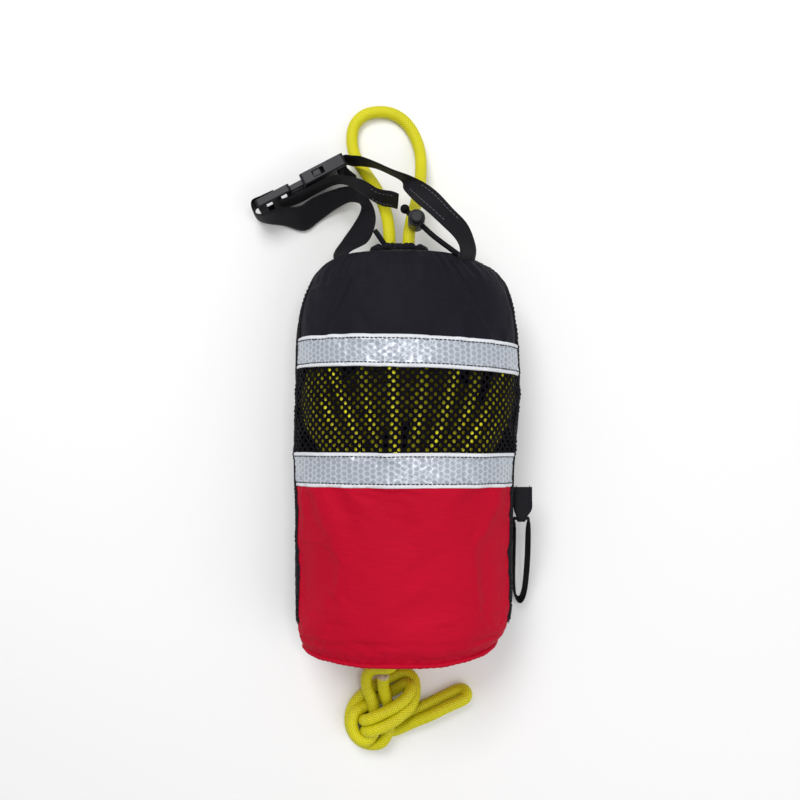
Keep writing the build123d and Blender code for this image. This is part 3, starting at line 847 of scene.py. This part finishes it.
def side_band(name, side, node):
    """Flat webbing down one side of the bag over the seam, stitched along both edges."""
    rows, columns = 330, 17
    y = np.linspace(-0.126, 0.1455, rows)[:, None] + np.zeros((1, columns))
    height = np.linspace(BAND_LOW, BAND_HIGH, columns)[None, :] + np.zeros((rows, 1))
    turn = turn_at(height, y)
    turn = turn if side > 0 else math.pi - turn
    lift = np.full(turn.shape, STRAP)
    lift[:, [0, -1]] -= 0.0007
    lift[[0, -1], :] -= 0.0006
    top, under = skin(turn, y, lift), skin(turn, y, np.full(turn.shape, 0.0001))
    band = slab(name, top, under, flat_size(top), slot="webbing")
    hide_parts(node)
    lines = [seam(turn[:, k], y[:, k], STRAP) for k in (1, columns - 2)]
    stitches(name + "_stitches", lines, 0.0033, 0.0026, 0.0003, material=THREAD)


def perimeter(y, lift, count):
    """Points round the bag's cross-section at y, and the turn at each."""
    turn = np.linspace(0, 2 * math.pi, count, endpoint=False)
    cx, a, b, cz = section(np.array(y))
    ring = np.stack([cx + (a + lift) * np.cos(turn), np.full(count, y), cz + (b + lift) * np.sin(turn)], 1)
    return ring, turn


def closed_tube(name, line, radius, around, **kind):
    """A closed ring of tube; radius has one number for each point of its line."""
    way = np.roll(line, -1, axis=0) - np.roll(line, 1, axis=0)
    way /= np.linalg.norm(way, axis=1)[:, None]
    side = np.cross(way, (0, 1, 0))
    side /= np.linalg.norm(side, axis=1)[:, None]
    up = np.cross(side, way)
    turn = np.linspace(0, 2 * math.pi, around, endpoint=False)
    points = line[:, None] + radius[:, None, None] * circles(turn, side, up)
    uvs = np.stack(np.broadcast_arrays((turn * 0.002)[None, :], run_of(line)[:, None]), -1)
    faces = grid_faces(len(line), around, True)
    last = (len(line) - 1) * around
    faces += [(last + j, last + (j + 1) % around, (j + 1) % around, j) for j in range(around)]
    return put(name, points.reshape(-1, 3), faces, uvs.reshape(-1, 2), **kind)


def piping():
    """The rolled edge where the base is sewn in: a thin cord in folded cloth, puckered by its thread."""
    line, turn = perimeter(ROLL_Y, 0.0004, 560)
    radius = 0.00175 + 0.00014 * np.sin(88 * turn) + 0.00012 * np.sin(23 * turn + 1)
    line[:, 1] += 0.0003 * np.sin(9 * turn) + corner(turn, ROLL_Y)
    line[:, 2] = np.maximum(line[:, 2], radius + FLOOR_GAP)
    roll = closed_tube("base_roll", line, radius, 14, slot="red_cloth")
    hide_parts("base_piping")


def disc(name, crown, back, lift, bore, node, **kind):
    """A round of cloth or foam across the bag's foot, pierced where the line passes through it."""
    around, rings = 200, 46
    turn = np.linspace(0, 2 * math.pi, around, endpoint=False)
    cx, a, b, cz = (float(v) for v in section(np.array(ROLL_Y)))
    rim = np.stack([cx + (a + lift) * np.cos(turn), cz + (b + lift) * np.sin(turn)], 1)
    rim[:, 1] = np.maximum(rim[:, 1], FLOOR_GAP + max(0, -lift))
    hole = np.array(LINE_EYE)
    reach = np.linalg.norm(rim - hole, axis=1)
    share = np.linspace(0, 1, rings)[:, None]
    out = (bore + (reach - bore)[None, :] * share) / reach[None, :]
    flat = hole + (rim - hole)[None] * out[..., None]
    radial = np.sqrt(((flat[..., 0] - cx) / (a + lift)) ** 2 + ((flat[..., 1] - cz) / (b + lift)) ** 2)
    radial = np.clip(radial, 0, 1)
    faces = []
    for shape in (crown, back):
        y = shape(radial, turn[None, :]) + corner(turn[None, :], ROLL_Y) * radial**3
        faces.append(np.stack([flat[..., 0], y, flat[..., 1]], -1))
    obj = slab(name, faces[0], faces[1], flat - hole, closed=True, **kind)
    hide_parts(node)
    return obj


def base():
    """The foot of the bag, crowned by the foam behind it, wrinkled towards its piping."""
    def crown(r, turn):
        wrinkle = np.sin(31 * turn + 2 * np.sin(5 * turn)) * ease(r, 0.72, 0.97) * (1 - ease(r, 0.97, 1))
        sag = np.sin(3 * turn + 1) * np.sin(5 * r)
        return ROLL_Y - 0.0083 * np.clip(1 - r**2.6, 0, 1) ** 0.8 + 0.0004 * wrinkle + 0.0003 * sag

    def behind(r, turn):
        return crown(r, turn) + CLOTH

    foot = disc("base_cloth", crown, behind, -0.0002, 0.0082, "base_panel", slot="red_cloth")

    def foam_face(r, turn):
        return ROLL_Y - 0.0058 * np.clip(1 - r**2.6, 0, 1) ** 0.8

    def foam_back(r, turn):
        return ROLL_Y + 0.0088 - 0.0022 * ease(r, 0.9, 1)

    foam = disc("foam_disc", foam_face, foam_back, -0.0035, 0.0084, "foam_float", slot="foam")


def hem():
    """The channel round the mouth, drawn up by its cord into small gathers."""
    half_width, half_height = 0.019, 0.0115
    turn = np.linspace(0, 2 * math.pi, 720, endpoint=False)
    x, y, z = MOUTH
    wobble = turn + 0.08 * np.sin(4 * turn) + 0.05 * np.sin(9 * turn + 2)
    bump = np.abs(np.cos(13 * wobble)) ** 0.8
    ripple = 0.0006 * np.sin(21 * wobble)
    line = np.stack([x + half_width * np.cos(turn), y + ripple, z + half_height * np.sin(turn)], 1)
    radius = 0.00225 + 0.0008 * bump
    channel = closed_tube("mouth_channel", line, radius, 18, slot="black_cloth")
    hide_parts("mouth_hem")


# --- straps ---
def curve_through(points, per):
    """Points on the smooth curve through the given ones, a number of steps for each span."""
    p = np.asarray(points, float)
    ends = np.concatenate([[2 * p[0] - p[1]], p, [2 * p[-1] - p[-2]]])
    line = []
    for i, count in enumerate(per):
        a, b, c, d = ends[i:i + 4]
        for t in np.linspace(0, 1, count, endpoint=False):
            line.append(0.5 * (2 * b + (c - a) * t + (2 * a - 5 * b + 4 * c - d) * t**2
                               + (3 * b - a - 3 * c + d) * t**3))
    return np.array(line + [p[-1]])


def ribbon(name, stations, thickness=STRAP, columns=13, curl=0.0, **kind):
    """A strap through pairs of edge points in mm, its edges rounded and its faces a little curled."""
    ends = MM * np.array(stations, float)
    middle = ends.mean(axis=1)
    per = [max(2, int(np.linalg.norm(q - p) / 0.0014)) for p, q in zip(middle, middle[1:])]
    left, right = curve_through(ends[:, 0], per), curve_through(ends[:, 1], per)
    along = np.gradient((left + right) / 2, axis=0)
    normal = np.cross(right - left, along)
    normal /= np.linalg.norm(normal, axis=1)[:, None]
    share = np.linspace(0, 1, columns)
    across = left[:, None] + (right - left)[:, None] * share[None, :, None]
    half = thickness / 2 * (1 - 0.75 * np.abs(2 * share - 1) ** 7)
    bow = curl * (1 - (2 * share - 1) ** 2)
    up = normal[:, None]
    top = across + up * (bow + half)[None, :, None]
    under = across + up * (bow - half)[None, :, None]
    obj = slab(name, top, under, flat_size(top), slot="webbing", **kind)
    return obj, top, under, normal


def strap_line(grid, normal, share, first, last, sign=1):
    """A line of stitching along a strap, at a share of its width, between two shares of its length."""
    rows, columns = grid.shape[:2]
    at = share * (columns - 1)
    j = min(columns - 2, int(at))
    line = grid[:, j] * (1 - at + j) + grid[:, j + 1] * (at - j)
    span = slice(int(first * (rows - 1)), int(last * (rows - 1)) + 1)
    return line[span], sign * normal[span]


# the buckle's near end, in mm, and the cosine and sine of the way it points
BUCKLE_X, BUCKLE_Y, BUCKLE_COS, BUCKLE_SIN = -49.2, 230.2, 0.888, 0.4606


def on_buckle(u, s, z):
    """A point in mm given along the buckle, to its south side and above the ground."""
    return (BUCKLE_X - BUCKLE_COS * u + BUCKLE_SIN * s, BUCKLE_Y - BUCKLE_SIN * u - BUCKLE_COS * s, z)


def upright(u, s, low):
    """The upper and lower edge of a 25 mm strap that stands on its edge beside the buckle."""
    return on_buckle(u, s, low + 25), on_buckle(u, s, low)


STRAP_RIGHT = [
    ((49, 139, 63), (37, 139, 86)),
    ((52, 149, 69), (39, 148, 89)),
    ((50.5, 156.5, 77), (35.5, 156, 90)),
    ((44.5, 168, 84), (26, 165, 92)),
    ((33.5, 178.5, 88), (15.5, 175, 91)),
    ((23.5, 189.5, 87), (7, 182.5, 89)),
    ((14, 197, 86), (-1, 195.5, 74)),
    ((3.5, 204, 80), (-2.5, 206.5, 57)),
    ((-10, 212, 70), (-11, 215, 46)),
    ((-22.5, 221, 59), (-23, 223.5, 35)),
    ((-34, 229, 47), (-34.5, 229, 23)),
    ((-42, 232.5, 38.5), (-42, 232, 14)),
    (on_buckle(-4.2, -3, 33), on_buckle(-4.4, -3, 8)),
    upright(0.4, -3.4, 7.5),
    upright(3.5, -3.2, 7.5),
    upright(4.9, -1.2, 7.5),
    upright(4.9, 1.2, 7.5),
    upright(3.5, 3.2, 7.5),
    upright(0.4, 3.5, 7),
    ((-43.5, 223.5, 31), (-44, 223, 6)),
    ((-38.5, 219.5, 31), (-39, 219, 6)),
]
STRAP_LEFT = [
    ((-48, 139, 58), (-36, 139, 72)),
    ((-54, 150.5, 58), (-42, 149, 72)),
    ((-47.5, 164.5, 50), (-29, 160, 60)),
    ((-41, 176, 43), (-24, 171.5, 51)),
    ((-35.5, 188, 35), (-22.5, 182, 49)),
    ((-34.5, 196.5, 27), (-25, 192, 46)),
    ((-38.5, 201.5, 19), (-31.5, 202.5, 38)),
    ((-46, 203.5, 11), (-43, 211, 30)),
    ((-56.5, 199.5, 6), (-58.5, 209.5, 24.5)),
    ((-69, 191.5, 2.5), (-73, 204.5, 21.5)),
    (on_buckle(50.4, 26.8, 3), on_buckle(46.2, 13, 23)),
]
STRAP_TURN = [
    (on_buckle(63, 16, 3.5), on_buckle(58, 8.6, 26)),
    (on_buckle(76, 7.2, 5), on_buckle(75.5, 6.8, 30)),
    (on_buckle(80, 1.5, 7.5), on_buckle(78.8, 1.5, 32.5)),
    (on_buckle(77.4, -5, 7.5), on_buckle(76.6, -5, 32.5)),
    upright(68, -5, 7.5)[::-1],
    upright(58, -4.6, 7.5)[::-1],
]
STRAP_TAIL = [
    upright(58, 4.2, 7.5),
    upright(44, 6.6, 8),
    upright(26, 7, 11),
    (on_buckle(12, 10.5, 44), on_buckle(12, 10.5, 20)),
    ((-45.5, 210.5, 58.5), (-44.5, 210.2, 35.5)),
    ((-31.5, 204, 70), (-32, 198.5, 50.5)),
    ((-20, 197, 72), (-19, 190.5, 52)),
    ((-10, 194, 76), (-10, 187.5, 56)),
    ((-5, 191.5, 78), (-6, 185.5, 59)),
]
SIDE_LOOP = [
    ((83.6, -47.5, 43.2), (83.6, -47.5, 40.8)),
    ((85, -56, 42), (83.4, -56, 34.5)),
    ((86.2, -76, 31), (83.4, -76, 23)),
    ((87, -94, 22), (84.2, -94, 13.5)),
    ((88, -106, 16.5), (86.2, -104, 7.5)),
    ((89.6, -115, 13), (89.4, -111, 4.5)),
    ((92.6, -118, 12), (92.4, -113.5, 3.5)),
    ((95.8, -113.5, 14), (94.2, -109, 5)),
    ((97.6, -102, 18), (94.8, -101, 9.6)),
    ((97.8, -80, 29), (94.8, -80, 20.6)),
    ((96.2, -56, 42), (93.8, -56, 34)),
    ((94.6, -47.5, 43.2), (94.6, -47.5, 40.8)),
]


def straps():
    """The buckle's webbing: the right half sewn to the shell, the left half through the insert."""
    right, top, under, normal = ribbon("shoulder_strap_right", STRAP_RIGHT)
    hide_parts("strap_right")
    lines = [strap_line(grid, normal, k, 0.2, 0.38, sign) for grid, sign in ((top, 1), (under, -1))
             for k in (0.2, 0.75)]
    stitches("strap_right_stitches", lines, 0.0032, 0.0025, 0.0003, material=PALE)
    left = ribbon("shoulder_strap_left", STRAP_LEFT + STRAP_TURN, body=None)[0]
    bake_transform(left)
    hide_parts("strap_left", "strap_turn")
    tail, top, under, normal = ribbon("strap_free_end", STRAP_TAIL, body="buckle_half")
    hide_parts("strap_tail")
    lines = [strap_line(grid, normal, k, 0.82, 0.96, sign) for k in (0.2, 0.8)
             for grid, sign in ((top, 1), (under, -1))]
    stitches("strap_end_stitches", lines, 0.003, 0.0024, 0.0003, body="buckle_half", material=PALE)


def side_fittings():
    """The folded tab in the right seam, and the carrying loop that hangs from it."""
    y, z = -47.5, 42
    upper = [(83.1, 97.4, -23.4, 0.9), (83.1, 97.4, -32, 1.1), (83.4, 97.2, -40, 1.8), (85, 94.5, -44.5, 2.3),
             (86, 92.5, y, 2.3)]
    lower = [(left, right, at, -rise) for left, right, at, rise in upper[::-1]]
    stations = [((left, at, z + rise), (right, at, z + rise))
                for left, right, at, rise in upper + [(86, 92.5, -49.6, 0)] + lower]
    tab, top, under, normal = ribbon("folded_tab", stations, thickness=0.0013)
    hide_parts("side_tab")
    face = top if top[2, 6, 2] > under[2, 6, 2] else under
    sign = 1 if face is top else -1
    lines = [strap_line(face, normal, k, 0.02, 0.3, sign) for k in (0.14, 0.86)]
    stitches("folded_tab_stitches", lines, 0.003, 0.0024, 0.0003, material=THREAD)
    loop = ribbon("webbing_loop", SIDE_LOOP, body="carrying_loop", curl=0.0004)[0]
    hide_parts("side_loop")
    line = MM * np.array([(83.2, y, z), (88, y, z), (95.2, y, z)])
    tube(even(line, 0.001)[0], 0.0013, 14, "webbing_loop_pin", body="carrying_loop", slot="webbing")


# --- the stuffed line ---
def stuffing_points():
    """The line's route: flat turns in layers from the bottom up, then flaked runs under the mesh."""
    points, mid = [], math.pi / 2
    _, a, b, cz = (float(v) for v in section(np.array(-0.02)))
    for layer in range(7):
        z = 0.0095 + 0.0099 * layer
        wide = a * math.sqrt(1 - ((z - cz) / b) ** 2) - (0.0115 if layer < 5 else 0.022)
        turns = round((wide - 0.0195) / 0.0102)
        outwards = layer % 2 == 0
        spiral = []
        for k in range(16 * turns + 1):
            turn = math.pi * k / 8 * (-1 if outwards else 1)
            reach = wide + (0.0195 - wide) * k / (16 * turns)
            end = math.copysign(0.033, math.sin(turn + 0.01))
            rise = 0.0004 * math.sin(1.7 * k + layer)
            spiral.append((reach * math.cos(turn), -0.024 + end + reach * math.sin(turn), z + rise))
        if outwards:
            spiral.reverse()
        points += spiral[3 if layer else 0:]
    points = points[:-4]
    near, drop = 0.0057, 0.0105
    slots = np.linspace(0.34, math.pi - 0.34, 12)
    order = (1, 3, 0, 5, 2, 7, 4, 9, 6, 11, 8, 10)
    for number, slot in enumerate(order):
        up = number % 2 == 0
        for k in range(5):
            y = -0.014 + 0.0225 * (k if up else 4 - k)
            fan = 1 + 10 * (y - 0.03) + 0.03 * math.sin(2 * k + slot)
            depth = near + (0 if up else drop * (0.9, 0.15, 0, 0.15, 0.9)[k])
            points.append(tuple(skin(mid + (slots[slot] - mid) * fan, np.array(y), -depth)))
        if number < len(order) - 1:
            y, bow = (0.096, 1) if up else (-0.034, -1)
            for share in (0.12, 0.5, 0.88):
                fan = 1 + 10 * (y - 0.03)
                turn = slots[slot] + (slots[order[number + 1]] - slots[slot]) * share
                depth = near + drop * (share if up else 1 - share)
                at = np.array(y + bow * 0.012 * math.sin(math.pi * share))
                points.append(tuple(skin(mid + (turn - mid) * fan, at, -depth)))
    return points


def stuffed_line():
    """The line stuffed in the bag, its yarns only a pattern of painted shade on a plain tube because so
    little of it shows.
    """
    line, run = even(route("stuffed_route", stuffing_points()), 0.0026)
    obj = tube(line, ROPE / 2, 12, "stuffed_line", slot="rope")
    turn = np.arange(12)[None, :]
    # a pattern of painted shade stands in for the relief of the yarns
    weave = 0.62 + 0.38 * np.sin(2.1 * turn + np.arange(len(line))[:, None] * 1.9) ** 3
    shade = obj.data.attributes.new("height", "FLOAT", "POINT")
    shade.data.foreach_set("value", weave.astype(np.float32).ravel())
    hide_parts("stuffed_rope")
    print("stuffed line, m:", round(float(run[-1]), 2))


panels()
mesh_window()
tape("tape_lower", -0.0222, 0.0031, LOWER_TILT, "tape_lower")
tape("tape_upper", 0.0632, 0.0864, UPPER_TILT, "tape_upper")
side_band("side_band_left", -1, "side_webbing_left")
side_band("side_band_right", 1, "side_webbing_right")
piping()
base()
hem()
straps()
side_fittings()
stuffed_line()
